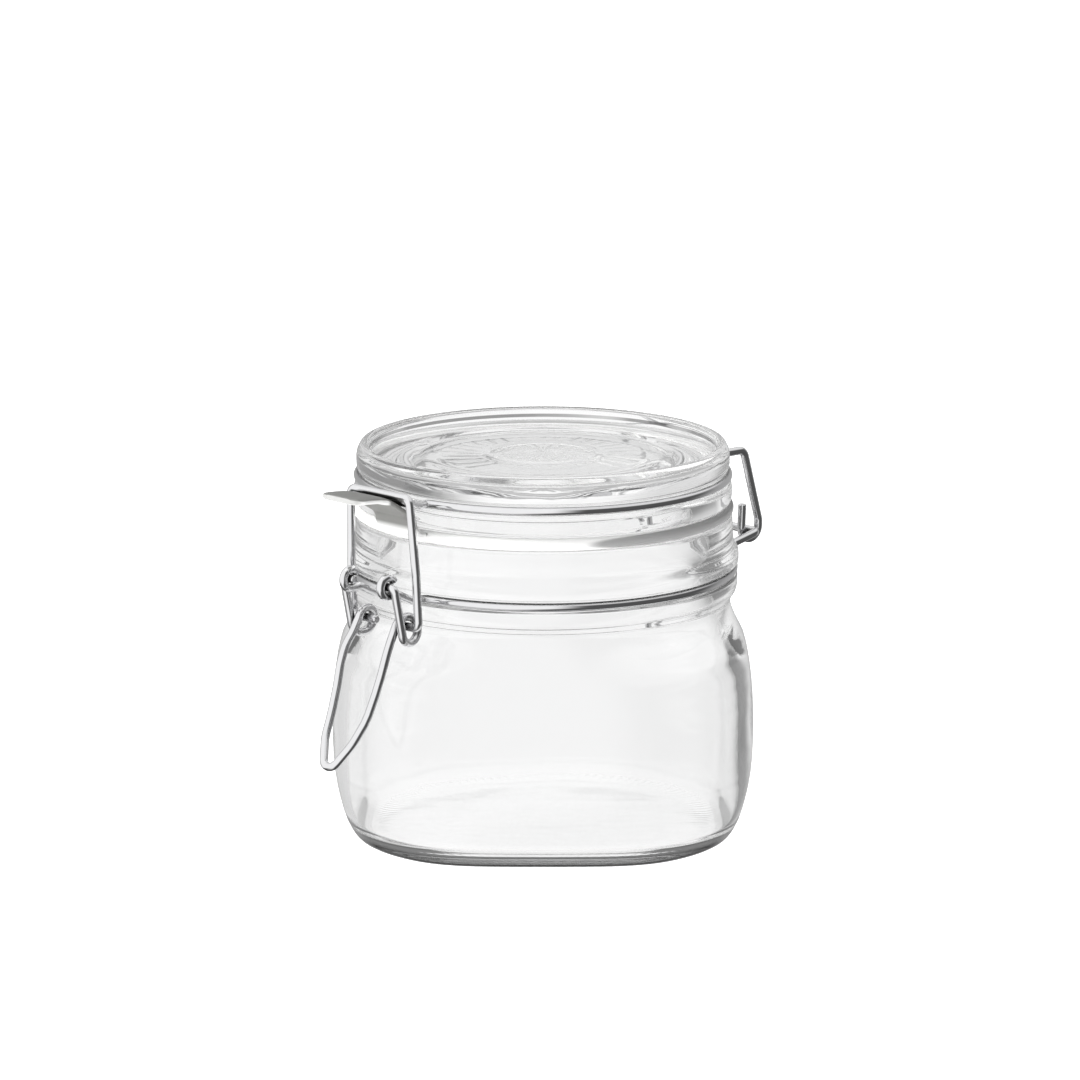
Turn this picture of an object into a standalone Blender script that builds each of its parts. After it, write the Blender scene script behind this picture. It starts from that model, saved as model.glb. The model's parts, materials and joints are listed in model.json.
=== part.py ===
"""Bail clamp jar: a square half-litre glass jar with a round hinged glass lid.

Metres, +Z up. The origin is the centre of the base, on the table.  The clasp
stands on the corner that points along CLASP_AZIMUTH and the hinge on the
opposite corner.  Wire paths are written as (outward, side, height), where
outward runs along CLASP_AZIMUTH, so the hinge has negative outward values.
"""

import math

import bmesh
import bpy
from mathutils import Matrix, Vector

MM = 0.001
CLASP_AZIMUTH = math.radians(225)
FACETS = 48                 # sides of every turned or lofted piece
STEP = math.tau / FACETS
WIRE_RADIUS = 1.05          # millimetres, like every size below
PLAY = 0.3                  # gap between neighbouring pieces
BEND_STEP = math.radians(22.5)

# Jar body: (height, half width across the flats, distance to the corner)
HEEL = [
    (0.0, 42.0, 48.6), (0.7, 44.9, 51.2), (2.2, 47.4, 53.4), (6.0, 49.5, 55.6),
    (11.0, 50.9, 57.3), (17.0, 52.1, 58.4),
]
WALL = [(25.0, 52.6, 58.8), (33.0, 52.5, 58.8), (39.0, 52.1, 58.4)]
SHOULDER = [
    (43.5, 51.5, 57.4), (46.8, 50.7, 56.2), (49.6, 49.7, 54.4), (52.2, 48.5, 52.0),
    (54.6, 47.5, 49.4),
]
BASE_RING = (38.5, 44.8)    # inner edge of the ring that the jar stands on
BASE_RECESS = (0.9, 36.5, 42.6)
BASE_CENTRE_HEIGHT = 1.3
INSIDE = [
    (53.0, 43.6, 45.4), (48.6, 46.2, 50.8), (43.0, 48.2, 54.0), (34.0, 49.2, 55.5),
    (24.0, 49.5, 55.7), (15.0, 49.0, 55.0), (9.0, 47.8, 53.4), (5.8, 45.4, 50.8),
    (4.3, 41.4, 46.6), (3.8, 35.0, 39.2),
]
FLOOR_CENTRE_HEIGHT = 3.5
CORNER_SHARPNESS = 12       # exponent that rounds the eight edges of the section
ROUND_HEIGHT = 57.0         # the section is a full circle from here up
SQUARE_HEIGHT = 47.0        # and fully square from here down

# Jar neck and lid, turned about the vertical axis: (radius, height)
GROOVE_DEPTH_RADIUS = 46.0
NECK_RING_RADIUS = 47.5
NECK_RING_HEIGHT = 66.4
GROOVE_HALF = WIRE_RADIUS + PLAY
RIM_HEIGHT = 79.9
MOUTH_RADIUS = 42.2
LID_RING_RADIUS = 46.0
LID_RING_HEIGHT = 89.75
LID_GROOVE_RADIUS = 44.6
LID_SEAT_HEIGHT = 83.2

# Gasket
GASKET_INNER = 42.0
GASKET_OUTER = 46.8
GASKET_BOTTOM = RIM_HEIGHT + PLAY
GASKET_TOP = LID_SEAT_HEIGHT - PLAY
TAB_WIDTH = 14.0
TAB_THICKNESS = 1.6
TAB_PATH = [(44.5, 81.55), (48.6, 81.55), (57.0, 84.8), (66.0, 88.1)]

# Hinge at the back corner
HINGE_OUT = -60.1
HINGE_HEIGHT = 68.3
HINGE_PIN_HALF = 17.0       # half length of the neck ring's cross wire
HINGE_ARM_SIDE = 14.3
HOOK_RADIUS = 3.15
HOOK_DROP = 2.25            # from the hinge axis down to the hook's lowest centre line
HOOK_TIP_HEIGHT = 75.4

# Clasp at the front corner
LEVER_OUT = 59.7
LEVER_HEIGHT = 71.35
LEVER_ARM_SIDE = 8.95
EYE_SIDE = 6.55
EYE_RADIUS = 2.3            # centre line of the neck ring's open eye
COIL_OUT = 54.0
COIL_HEIGHT = 60.0
COIL_RADIUS = 3.15
LEVER_TIP_SIDE = EYE_SIDE - 1.6     # where the lever's wire ends, inside the eye
BAIL_TIP_SIDE = 3.2         # where the bail's wire ends, well past the lever's coil
LOOP_TIP_OUT = 73.6         # lowest point of the finger loop, and the bend round it
LOOP_TIP_HEIGHT = 27.9
LOOP_TIP_RADIUS = 2.6
LOOP_TIP_HEADING = math.radians(-58)
BAIL_PIN_HEIGHT = 60.75
BAIL_LEG = (54.8, 11.4, 74.5)
BAIL_BAR_HALF = 10.3
BAIL_BAR_OUT = 55.8
BAIL_BAR_HEIGHT = 93.0
NOSE_SIDE = 6.0
NOSE_OUT = 53.8
NOSE_HEIGHT = 91.3


def clear_scene():
    for obj in list(bpy.data.objects):
        bpy.data.objects.remove(obj, do_unlink=True)


def new_collection(name):
    collection = bpy.data.collections.new(name)
    bpy.context.scene.collection.children.link(collection)
    return collection


def principled(name, colour, roughness, metallic=0.0, transmission=0.0, ior=1.5):
    material = bpy.data.materials.new(name)
    material.use_nodes = True
    shader = material.node_tree.nodes["Principled BSDF"]
    shader.inputs["Base Color"].default_value = (*colour, 1.0)
    shader.inputs["Roughness"].default_value = roughness
    shader.inputs["Metallic"].default_value = metallic
    shader.inputs["Transmission Weight"].default_value = transmission
    shader.inputs["IOR"].default_value = ior
    material.diffuse_color = (*colour, 1.0)
    return material


def link(name, data, collection, material):
    obj = bpy.data.objects.new(name, data)
    collection.objects.link(obj)
    data.materials.append(material)
    return obj


def shade_round(mesh):
    mesh.shade_smooth()
    mesh.set_sharp_from_angle(angle=math.radians(35))


# ---------------------------------------------------------------- paths

def arc(centre, radius, start, end, steps, side):
    """Points on a circle in the outward-height plane; angles in degrees from outward."""
    points = []
    for index in range(steps + 1):
        share = index / steps
        angle = math.radians(start + (end - start) * share)
        across = side[0] + (side[1] - side[0]) * share
        points.append(Vector((centre[0] + radius * math.cos(angle), across,
                              centre[1] + radius * math.sin(angle))))
    return points


def ring_part(radius, height, first_side, last_side):
    """Ring points from the clasp end round one side, on the facets of the turned pieces."""
    start = math.asin(first_side / radius) + STEP * 0.4
    end = math.pi - math.asin(last_side / radius) - STEP * 0.4
    angles = [STEP * index for index in range(FACETS) if start < STEP * index < end]
    return [Vector((radius * math.cos(angle), radius * math.sin(angle), height))
            for angle in angles]


def fillet(points, radius):
    """Round the inner corners of an open path with arcs of the given bend radius."""
    rounded = [Vector(points[0])]
    for before, corner, after in zip(points, points[1:], points[2:]):
        before, corner, after = Vector(before), Vector(corner), Vector(after)
        to_before = (before - corner).normalized()
        to_after = (after - corner).normalized()
        half = to_before.angle(to_after) / 2
        reach = min(radius / math.tan(half), 0.48 * (before - corner).length,
                    0.48 * (after - corner).length)
        bend = reach * math.tan(half)
        centre = corner + (to_before + to_after).normalized() * (bend / math.sin(half))
        first = (corner + to_before * reach - centre).normalized()
        last = (corner + to_after * reach - centre).normalized()
        steps = max(1, round(first.angle(last) / BEND_STEP))
        for index in range(steps + 1):
            rounded.append(centre + first.slerp(last, index / steps) * bend)
    rounded.append(Vector(points[-1]))
    return rounded


def mirrored(half):
    """A whole path from its half that starts on the clasp's plane of symmetry."""
    other = [Vector((point.x, -point.y, point.z)) for point in reversed(half[1:])]
    return other + half


def wire(name, path, axis_point, collection, material):
    """A round wire along a path in millimetres, with its origin on its joint's axis."""
    curve = bpy.data.curves.new(name, "CURVE")
    curve.dimensions = "3D"
    curve.bevel_depth = WIRE_RADIUS * MM
    curve.bevel_resolution = 2
    curve.use_fill_caps = True
    spline = curve.splines.new("POLY")
    spline.points.add(len(path) - 1)
    origin = Vector(axis_point)
    for point, place in zip(spline.points, path):
        point.co = (*((place - origin) * MM), 1.0)
    obj = link(name, curve, collection, material)
    turn = Matrix.Rotation(CLASP_AZIMUTH, 4, "Z")
    obj.matrix_world = turn @ Matrix.Translation(origin * MM)
    return obj


# ---------------------------------------------------------------- turned and lofted pieces

def turned(name, profile, collection, material):
    """A closed body from a (radius, height) profile that starts at the axis or closes on itself."""
    mesh = bpy.data.meshes.new(name)
    vertices = [(radius * MM, 0.0, height * MM) for radius, height in profile]
    edges = [(index, index + 1) for index in range(len(vertices) - 1)]
    if profile[0][0] > 0:
        edges.append((len(vertices) - 1, 0))
    mesh.from_pydata(vertices, edges, [])
    obj = link(name, mesh, collection, material)
    screw = obj.modifiers.new("turn", "SCREW")
    screw.axis = "Z"
    screw.steps = FACETS
    screw.render_steps = FACETS
    screw.use_merge_vertices = True
    screw.merge_threshold = 0.00001
    screw.use_smooth_shade = True
    return obj


def section_radius(azimuth, flat, corner, squareness):
    """Distance from the axis to a square section with eight rounded edges."""
    total = 0.0
    for index in range(8):
        distance = flat if index % 2 == 0 else corner
        facing = math.cos(azimuth - index * math.pi / 4)
        if facing > 0:
            total += (facing / distance) ** CORNER_SHARPNESS
    square = total ** (-1 / CORNER_SHARPNESS)
    return flat + (square - flat) * squareness


def jar_sections():
    """Every section of the jar's skin from the recess under the base to the inner floor."""
    def squareness(height):
        return min(1.0, max(0.0, (ROUND_HEIGHT - height) / (ROUND_HEIGHT - SQUARE_HEIGHT)))

    recess_height, recess_flat, recess_corner = BASE_RECESS
    sections = [(recess_height, recess_flat, recess_corner, 1.0), (0.0, *BASE_RING, 1.0)]
    for height, flat, corner in HEEL + WALL + SHOULDER:
        sections.append((height, flat, corner, squareness(height)))
    low = NECK_RING_HEIGHT - GROOVE_HALF
    high = NECK_RING_HEIGHT + GROOVE_HALF
    neck = [
        (57.0, 46.7), (59.2, 46.8), (60.4, 47.7), (61.6, 48.4), (low - 0.6, 48.5), (low, 48.1),
        (low, GROOVE_DEPTH_RADIUS), (high, GROOVE_DEPTH_RADIUS), (high, 48.3), (high + 0.7, 48.8),
        (70.6, 48.8), (71.8, 48.1), (72.8, 47.4), (79.0, 47.2), (79.7, 46.8),
        (RIM_HEIGHT, 46.2), (RIM_HEIGHT, 43.0), (79.5, 42.4), (78.6, MOUTH_RADIUS),
        (57.0, MOUTH_RADIUS),
    ]
    for height, radius in neck:
        sections.append((height, radius, radius, 0.0))
    for height, flat, corner in INSIDE:
        sections.append((height, flat, corner, squareness(height)))
    return sections


def build_jar(collection):
    glass = principled("clear_glass", (0.93, 0.95, 0.95), 0.03, transmission=1.0, ior=1.5)
    work = bmesh.new()
    rings = []
    for height, flat, corner, squareness in jar_sections():
        ring = []
        for index in range(FACETS):
            azimuth = index * STEP
            radius = section_radius(azimuth, flat, corner, squareness)
            ring.append(work.verts.new((radius * math.cos(azimuth) * MM,
                                        radius * math.sin(azimuth) * MM, height * MM)))
        rings.append(ring)
    for lower, upper in zip(rings, rings[1:]):
        for index in range(FACETS):
            following = (index + 1) % FACETS
            work.faces.new((lower[index], lower[following], upper[following], upper[index]))
    underside = work.verts.new((0.0, 0.0, BASE_CENTRE_HEIGHT * MM))
    floor = work.verts.new((0.0, 0.0, FLOOR_CENTRE_HEIGHT * MM))
    for index in range(FACETS):
        following = (index + 1) % FACETS
        work.faces.new((underside, rings[0][following], rings[0][index]))
        work.faces.new((floor, rings[-1][index], rings[-1][following]))
    bmesh.ops.recalc_face_normals(work, faces=work.faces)
    mesh = bpy.data.meshes.new("jar")
    work.to_mesh(mesh)
    work.free()
    shade_round(mesh)
    return link("jar", mesh, collection, glass)


def build_lid(collection):
    glass = principled("lid_glass", (0.93, 0.95, 0.95), 0.03, transmission=1.0, ior=1.5)
    low = LID_RING_HEIGHT - GROOVE_HALF
    high = LID_RING_HEIGHT + GROOVE_HALF
    profile = [
        (0.0, 95.0), (11.0, 94.9), (12.0, 94.6), (30.2, 94.6), (31.2, 95.0), (41.0, 95.2),
        (42.2, 95.7), (42.9, 97.2), (43.7, 97.9), (44.6, 97.9), (45.6, 97.4), (46.2, 96.5),
        (46.4, 95.3), (46.4, 92.6), (45.8, high), (LID_GROOVE_RADIUS, high),
        (LID_GROOVE_RADIUS, low), (46.2, low), (47.0, 87.6), (47.0, 83.9),
        (46.4, LID_SEAT_HEIGHT), (40.6, LID_SEAT_HEIGHT), (40.0, 82.6), (39.9, 81.0),
        (39.2, 80.5), (37.6, 80.5), (36.6, 81.6), (35.6, 87.6), (33.6, 89.4), (30.0, 89.9),
        (0.0, 90.1),
    ]
    lid = turned("lid", profile, collection, glass)
    hinge = bpy.data.objects.new("lid_hinge_axis", None)
    collection.objects.link(hinge)
    hinge.matrix_world = (Matrix.Rotation(CLASP_AZIMUTH, 4, "Z")
                          @ Matrix.Translation(Vector((HINGE_OUT, 0, HINGE_HEIGHT)) * MM))
    lid.parent = hinge
    lid.matrix_parent_inverse = hinge.matrix_world.inverted()
    return lid


def build_gasket(collection, cutters):
    silicone = principled("silicone_seal", (0.9, 0.9, 0.89), 0.45, transmission=0.2)
    profile = [
        (GASKET_INNER, GASKET_TOP), (GASKET_OUTER - 0.5, GASKET_TOP),
        (GASKET_OUTER, GASKET_TOP - 0.5), (GASKET_OUTER, GASKET_BOTTOM + 0.5),
        (GASKET_OUTER - 0.5, GASKET_BOTTOM), (GASKET_INNER, GASKET_BOTTOM),
    ]
    gasket = turned("gasket", profile, collection, silicone)
    tab = build_tab(cutters, silicone)
    union = gasket.modifiers.new("tab", "BOOLEAN")
    union.operation = "UNION"
    union.solver = "EXACT"
    union.object = tab
    return gasket


def build_tab(cutters, silicone):
    """The pull tab: a bent strip, drawn from its side view and made as wide as the tab."""
    half = TAB_THICKNESS / 2
    upper = [(out, height + half) for out, height in TAB_PATH]
    lower = [(out, height - half) for out, height in reversed(TAB_PATH)]
    outline = upper + lower
    work = bmesh.new()
    strip = [work.verts.new((out * MM, -TAB_WIDTH / 2 * MM, height * MM)) for out, height in outline]
    side = work.faces.new(strip)
    swept = bmesh.ops.extrude_face_region(work, geom=[side])
    moved = [item for item in swept["geom"] if isinstance(item, bmesh.types.BMVert)]
    bmesh.ops.translate(work, verts=moved, vec=(0, TAB_WIDTH * MM, 0))
    bmesh.ops.recalc_face_normals(work, faces=work.faces)
    mesh = bpy.data.meshes.new("gasket_tab")
    work.to_mesh(mesh)
    work.free()
    tab = link("gasket_tab", mesh, cutters, silicone)
    tab.rotation_euler = (0.0, 0.0, CLASP_AZIMUTH)
    tab.hide_render = True
    tab.display_type = "WIRE"
    return tab


# ---------------------------------------------------------------- wires

def build_neck_ring(collection, steel):
    """One wire round the neck: open eyes for the lever in front, a cross wire for the hinge."""
    eye = arc((LEVER_OUT, LEVER_HEIGHT), EYE_RADIUS, 155, -90, 9, (EYE_SIDE, EYE_SIDE))
    eye_foot = LEVER_HEIGHT - EYE_RADIUS
    ring_out = math.sqrt(NECK_RING_RADIUS ** 2 - EYE_SIDE ** 2)
    lead = [eye[-1], Vector((56.5, EYE_SIDE, eye_foot)), Vector((51.0, EYE_SIDE, NECK_RING_HEIGHT)),
            Vector((ring_out, EYE_SIDE, NECK_RING_HEIGHT))]
    ring = ring_part(NECK_RING_RADIUS, NECK_RING_HEIGHT, EYE_SIDE, HINGE_PIN_HALF)
    back_out = -math.sqrt(NECK_RING_RADIUS ** 2 - HINGE_PIN_HALF ** 2)
    back = [
        Vector((back_out, HINGE_PIN_HALF, NECK_RING_HEIGHT)),
        Vector((-50.0, HINGE_PIN_HALF, NECK_RING_HEIGHT)),
        Vector((HINGE_OUT, HINGE_PIN_HALF, HINGE_HEIGHT)),
        Vector((HINGE_OUT, 0.0, HINGE_HEIGHT)),
    ]
    front = fillet(lead + ring[:1], 2.0)[:-1]
    rear = fillet(ring[-1:] + back, 1.6)[1:]
    half = list(reversed(eye[:-1] + front + ring + rear))
    return wire("neck_ring", mirrored(half), (0, 0, 0), collection, steel)


def build_lid_ring(collection, steel):
    """One wire round the lid: a nose for the bail in front, two hooked arms at the back."""
    ring_nose_out = math.sqrt(LID_RING_RADIUS ** 2 - NOSE_SIDE ** 2)
    ring = ring_part(LID_RING_RADIUS, LID_RING_HEIGHT, NOSE_SIDE, HINGE_ARM_SIDE)
    nose = [
        Vector((NOSE_OUT, 0.0, NOSE_HEIGHT)),
        Vector((NOSE_OUT, NOSE_SIDE, NOSE_HEIGHT)),
        Vector((48.5, NOSE_SIDE, LID_RING_HEIGHT)),
        Vector((ring_nose_out, NOSE_SIDE, LID_RING_HEIGHT)),
    ]
    front = fillet(nose + ring[:1], 1.6)[:-1]
    ring_back_out = -math.sqrt(LID_RING_RADIUS ** 2 - HINGE_ARM_SIDE ** 2)
    hook_height = HINGE_HEIGHT - HOOK_DROP + HOOK_RADIUS
    arm = [
        Vector((ring_back_out, HINGE_ARM_SIDE, LID_RING_HEIGHT)),
        Vector((-57.6, HINGE_ARM_SIDE, LID_RING_HEIGHT - 0.4)),
        Vector((HINGE_OUT - HOOK_RADIUS, HINGE_ARM_SIDE, hook_height + 1.5)),
    ]
    hook = arc((HINGE_OUT, hook_height), HOOK_RADIUS, 180, 360, 8, (HINGE_ARM_SIDE, HINGE_ARM_SIDE))
    tip = Vector((HINGE_OUT + HOOK_RADIUS - 0.3, HINGE_ARM_SIDE, HOOK_TIP_HEIGHT))
    rear = fillet(ring[-1:] + arm + hook[:1], 2.4)[1:-1]
    half = front + ring + rear + hook + [tip]
    return wire("lid_ring", mirrored(half), (HINGE_OUT, 0, HINGE_HEIGHT), collection, steel)


def build_lever(collection, steel):
    """One wire: a pivot pin, an arm, a full coil for the bail, then the long finger loop."""
    reach = math.hypot(LEVER_OUT - COIL_OUT, LEVER_HEIGHT - COIL_HEIGHT)
    heading = math.atan2(LEVER_HEIGHT - COIL_HEIGHT, LEVER_OUT - COIL_OUT)
    tangent = math.degrees(heading - math.acos(COIL_RADIUS / reach))
    pin = [Vector((LEVER_OUT, LEVER_TIP_SIDE, LEVER_HEIGHT)),
           Vector((LEVER_OUT, LEVER_ARM_SIDE, LEVER_HEIGHT))]
    coil = arc((COIL_OUT, COIL_HEIGHT), COIL_RADIUS, tangent, -340, 18, (LEVER_ARM_SIDE, EYE_SIDE))
    loop = [
        Vector((58.7, 6.7, 58.0)), Vector((60.9, 7.3, 54.6)), Vector((62.5, 7.3, 50.3)),
        Vector((64.1, 6.8, 45.4)), Vector((66.5, 6.2, 39.3)), Vector((70.0, 4.9, 33.7)),
    ]
    tip = []
    for degrees in (26, 42, 58, 74, 90):
        turn = math.radians(degrees)
        along = LOOP_TIP_RADIUS * (math.sin(turn) - 1)
        tip.append(Vector((LOOP_TIP_OUT + along * math.cos(LOOP_TIP_HEADING),
                           LOOP_TIP_RADIUS * math.cos(turn),
                           LOOP_TIP_HEIGHT + along * math.sin(LOOP_TIP_HEADING))))
    start = fillet(pin + coil[:1], 1.4)[:-1]
    finger = fillet(coil[-1:] + loop + tip[:1], 6.0)[1:] + tip[1:]
    half = list(reversed(start + coil + finger))
    return wire("lever", mirrored(half), (LEVER_OUT, 0, LEVER_HEIGHT), collection, steel)


def build_bail(collection, steel):
    """One wire: two feet in the lever's coils, two legs, and the bar that holds the lid down."""
    half = fillet([
        Vector((BAIL_BAR_OUT, 0.0, BAIL_BAR_HEIGHT)),
        Vector((BAIL_BAR_OUT, BAIL_BAR_HALF, BAIL_BAR_HEIGHT)),
        Vector(BAIL_LEG),
        Vector((COIL_OUT, BAIL_LEG[1], BAIL_PIN_HEIGHT)),
        Vector((COIL_OUT, BAIL_TIP_SIDE, BAIL_PIN_HEIGHT)),
    ], 1.8)
    return wire("bail", mirrored(half), (COIL_OUT, 0, BAIL_PIN_HEIGHT), collection, steel)


def build():
    clear_scene()
    parts = new_collection("bail_clamp_jar")
    cutters = new_collection("bail_clamp_jar_cutters")
    build_jar(parts)
    build_lid(parts)
    build_gasket(parts, cutters)
    for maker in (build_neck_ring, build_lid_ring, build_lever, build_bail):
        steel = principled(maker.__name__.replace("build_", "") + "_steel", (0.72, 0.72, 0.73),
                           0.18, metallic=1.0)
        maker(parts, steel)


build()
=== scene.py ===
"""The looks of the bail clamp jar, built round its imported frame.

Lengths are in millimetres until a mesh is made.  Wire paths are written as
(outward, side, height), where outward runs from the jar's axis to the clasp.
Sections of the jar are written as (height, half width across the flats,
distance to the corner), and turned outlines as (radius, height).
"""

import json
import math

import bmesh
import bpy
import numpy as np
from mathutils import Matrix, Vector


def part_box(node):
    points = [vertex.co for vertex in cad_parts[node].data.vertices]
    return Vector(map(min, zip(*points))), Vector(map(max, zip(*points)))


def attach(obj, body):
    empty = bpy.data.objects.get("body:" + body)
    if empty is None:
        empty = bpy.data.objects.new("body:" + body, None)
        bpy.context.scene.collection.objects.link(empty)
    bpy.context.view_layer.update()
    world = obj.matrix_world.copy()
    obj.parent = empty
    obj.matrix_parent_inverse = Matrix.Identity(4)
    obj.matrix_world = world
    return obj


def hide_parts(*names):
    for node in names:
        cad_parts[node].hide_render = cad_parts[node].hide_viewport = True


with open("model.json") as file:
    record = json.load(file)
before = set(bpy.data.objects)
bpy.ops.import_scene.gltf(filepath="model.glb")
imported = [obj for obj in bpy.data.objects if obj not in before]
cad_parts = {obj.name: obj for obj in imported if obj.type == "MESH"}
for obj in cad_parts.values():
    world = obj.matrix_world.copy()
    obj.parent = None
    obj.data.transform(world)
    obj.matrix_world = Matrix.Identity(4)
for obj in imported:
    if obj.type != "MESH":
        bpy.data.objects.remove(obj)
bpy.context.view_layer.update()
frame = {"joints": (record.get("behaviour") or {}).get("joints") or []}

MM = 0.001
JOINT = {joint["name"]: Vector(joint["pos_m"]) / MM for joint in frame["joints"]}
CLASP_AZIMUTH = math.atan2(JOINT["lever_pivot"].y, JOINT["lever_pivot"].x)
CLASP_TURN = Matrix.Rotation(CLASP_AZIMUTH, 3, "Z")
CLASP_OUT = (math.cos(CLASP_AZIMUTH), math.sin(CLASP_AZIMUTH), 0.0)

WIRE_RADIUS = 1.05
BEND_STEP = math.radians(8)      # turn between two points of a bend

LEVER_OUT, LEVER_HEIGHT = JOINT["lever_pivot"].xy.length, JOINT["lever_pivot"].z
COIL_OUT, BAIL_PIN_HEIGHT = JOINT["bail_swing"].xy.length, JOINT["bail_swing"].z
HINGE_OUT, HINGE_HEIGHT = -JOINT["lid_hinge"].xy.length, JOINT["lid_hinge"].z
LID_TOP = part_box("lid")[1].z / MM


# ---------------------------------------------------------------- outlines

def softened(points, step=0.5):
    """Round the corners of an open outline.

    Each point is its coordinates and then its reach: how far from the corner its
    rounding starts, at most half of either side.  step is the greatest length of
    a straight piece of the result.
    """
    coordinates = np.array([point[:-1] for point in points], float)
    reaches = [point[-1] for point in points]
    path = [coordinates[0]]
    for index in range(1, len(points) - 1):
        corner = coordinates[index]
        sides = [coordinates[index - 1] - corner, coordinates[index + 1] - corner]
        lengths = [float(np.linalg.norm(side[:2])) for side in sides]
        ends = [corner + side * min(0.5, reaches[index] / length)
                for side, length in zip(sides, lengths)]
        turn = math.acos(max(-1.0, min(1.0, -float(sides[0][:2] @ sides[1][:2])
                                       / (lengths[0] * lengths[1]))))
        count = max(2, math.ceil(turn / math.radians(9)))
        for share in np.linspace(0, 1, count + 1):
            path.append((1 - share) ** 2 * ends[0] + 2 * share * (1 - share) * corner
                        + share ** 2 * ends[1])
    path.append(coordinates[-1])
    fine = [path[0]]
    for point in path[1:]:
        gap = float(np.linalg.norm(point[:2] - fine[-1][:2]))
        if gap < 0.01:
            continue
        start = fine[-1]
        for share in np.linspace(0, 1, math.ceil(gap / step) + 1)[1:]:
            fine.append(start + (point - start) * share)
    return np.array(fine)


def skin(name, rows, ring=False):
    """A closed mesh over rows of points round the jar's axis.

    A ring joins its last row to its first; otherwise the first and last rows are
    closed with a point each on the axis.
    """
    count, columns = rows.shape[:2]
    vertices = rows.reshape(-1, 3)
    lower = np.arange(columns)
    following = (lower + 1) % columns
    faces = []
    for row in range(count if ring else count - 1):
        upper = (row + 1) % count * columns
        base = row * columns
        faces += np.stack([base + lower, base + following, upper + following, upper + lower], 1).tolist()
    if not ring:
        poles = rows[[0, -1]].mean(1)
        first = len(vertices)
        vertices = np.vstack([vertices, poles])
        last_row = (count - 1) * columns
        faces += [[first, b, a] for a, b in zip(lower.tolist(), following.tolist())]
        faces += [[first + 1, last_row + a, last_row + b]
                  for a, b in zip(lower.tolist(), following.tolist())]
    mesh = bpy.data.meshes.new(name)
    mesh.from_pydata((vertices * MM).tolist(), [], faces)
    mesh.shade_smooth()
    return mesh


def facing_out(mesh):
    work = bmesh.new()
    work.from_mesh(mesh)
    bmesh.ops.recalc_face_normals(work, faces=work.faces)
    work.to_mesh(mesh)
    work.free()


def piece(name, mesh, material, body, slot, *nodes):
    """Put a finished mesh in the scene on its body, in place of its CAD nodes."""
    facing_out(mesh)
    mesh.materials.clear()
    mesh.materials.append(material)
    obj = bpy.data.objects.new(name, mesh)
    bpy.context.scene.collection.objects.link(obj)
    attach(obj, body)
    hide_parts(*nodes)
    return obj


# ---------------------------------------------------------------- jar

JAR_COLUMNS = 384
JAR_ROW_STEP = 1.8          # greatest distance between two rows of points
SMOOTH = 99.0               # a reach that rounds from midpoint to midpoint
CORNER_SHARPNESS = 12       # exponent that rounds the eight edges of the section
ROUND_HEIGHT = 57.0         # the jar's section is a circle from here up
SQUARE_HEIGHT = 47.0        # and fully square from here down
NECK_RING_HEIGHT = 66.4
GROOVE_HALF = WIRE_RADIUS + 0.3
BASE_KNURLS = 128           # fine ribs round the ring that the jar stands on


def squareness(height):
    return min(1.0, max(0.0, (ROUND_HEIGHT - height) / (ROUND_HEIGHT - SQUARE_HEIGHT)))


def jar_outline():
    """Sections from the middle of the underside, up the outside, down the inside to the floor."""
    low = NECK_RING_HEIGHT - GROOVE_HALF
    high = NECK_RING_HEIGHT + GROOVE_HALF
    base = [(0.35, 2.0, 2.3, SMOOTH), (0.3, 18.0, 20.9, SMOOTH), (0.15, 31.0, 36.2, SMOOTH),
            (0.0, 40.5, 47.0, 0.7)]
    outside = [
        (0.0, 42.4, 49.0, 1.2), (0.7, 44.9, 51.2, SMOOTH), (2.2, 47.4, 53.4, SMOOTH),
        (6.0, 49.5, 55.6, SMOOTH), (11.0, 50.9, 57.3, SMOOTH), (17.0, 52.1, 58.4, SMOOTH),
        (25.0, 52.6, 58.8, SMOOTH), (33.0, 52.5, 58.8, SMOOTH), (39.0, 52.1, 58.4, SMOOTH),
        (43.5, 51.5, 57.4, SMOOTH), (46.8, 50.7, 56.2, SMOOTH), (49.6, 49.7, 54.4, SMOOTH),
        (52.2, 48.5, 52.0, SMOOTH), (54.6, 47.5, 49.4, SMOOTH),
    ]
    neck = [
        (57.0, 46.7, SMOOTH), (59.2, 46.8, SMOOTH), (60.4, 47.7, SMOOTH), (61.6, 48.4, SMOOTH),
        (low - 0.3, 48.5, 0.5), (low, 46.0, 0.7), (high, 46.0, 0.7), (high + 0.2, 48.7, 0.5),
        (70.6, 48.8, SMOOTH), (71.8, 48.1, SMOOTH), (72.8, 47.4, SMOOTH), (79.9, 47.1, 1.0),
        (79.9, 42.3, 1.0), (76.0, 42.1, SMOOTH), (60.0, 42.1, SMOOTH), (56.5, 42.4, SMOOTH),
    ]
    inside = [
        (53.0, 43.6, 45.4, SMOOTH), (48.6, 46.2, 50.8, SMOOTH), (43.0, 48.2, 54.0, SMOOTH),
        (34.0, 49.2, 55.5, SMOOTH), (24.0, 49.5, 55.7, SMOOTH), (15.0, 49.2, 55.6, SMOOTH),
        (9.0, 48.3, 54.8, SMOOTH), (6.0, 47.2, 53.6, SMOOTH), (4.4, 45.0, 51.4, SMOOTH),
        (3.6, 41.8, 48.0, SMOOTH), (3.65, 30.0, 34.4, SMOOTH), (3.8, 2.0, 2.3, SMOOTH),
    ]
    sections = base + outside + [(height, radius, radius, reach) for height, radius, reach in neck]
    sections += inside
    # Flat width and height come first, because roundings are measured on those two.
    return softened([(flat, height, corner, reach) for height, flat, corner, reach in sections],
                    JAR_ROW_STEP)


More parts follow.
